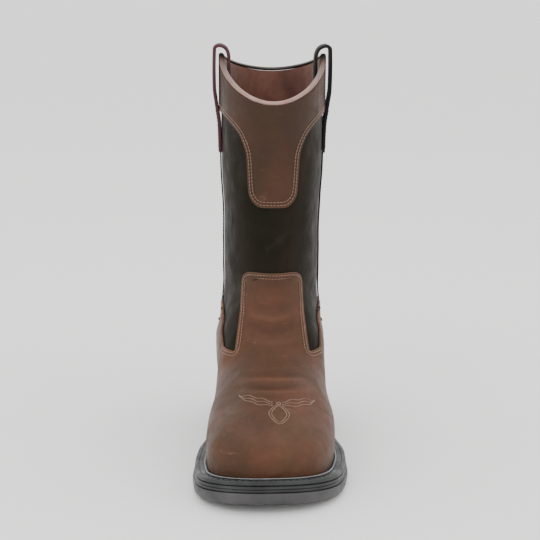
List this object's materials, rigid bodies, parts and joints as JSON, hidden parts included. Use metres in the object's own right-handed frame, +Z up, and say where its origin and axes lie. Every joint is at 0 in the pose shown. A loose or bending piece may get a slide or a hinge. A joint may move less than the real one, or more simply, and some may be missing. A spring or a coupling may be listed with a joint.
{
  "type": "western work boot",
  "caption": "Left pull-on western work boot with a square toe, scalloped collar, pull straps and a welted lugged sole, for wearing on the foot.",
  "frame": {"origin": "on the floor, under the middle of the boot's box", "axes": "+Z up, the shaft's way; -Y the way that the toe points; +X towards the little toe"},
  "size_m": [0.1254, 0.3138, 0.3428],
  "materials": {
    "brown_leather": "oiled and creased, satin",
    "black_leather": "dark shaft leather, slightly glossy",
    "edge_leather": "worn rolled edge",
    "strap_leather": "matte strap",
    "black_rubber": "matte, dusty",
    "grey_rubber": "matte, dusty",
    "insole_leather": "dull"
  },
  "bodies": {
    "root": {"outsole": "grey_rubber", "heel": "grey_rubber", "midsole": "black_rubber", "welt": "grey_rubber", "insole": "insole_leather", "upper": "black_leather", "vamp": "brown_leather", "counter": "brown_leather", "collar_front": "brown_leather", "collar_back": "brown_leather", "collar_binding": "edge_leather", "pull_strap_medial": "strap_leather", "pull_strap_lateral": "strap_leather", "side_seam_medial": "black_leather", "side_seam_lateral": "black_leather"}
  },
  "joints": []
}
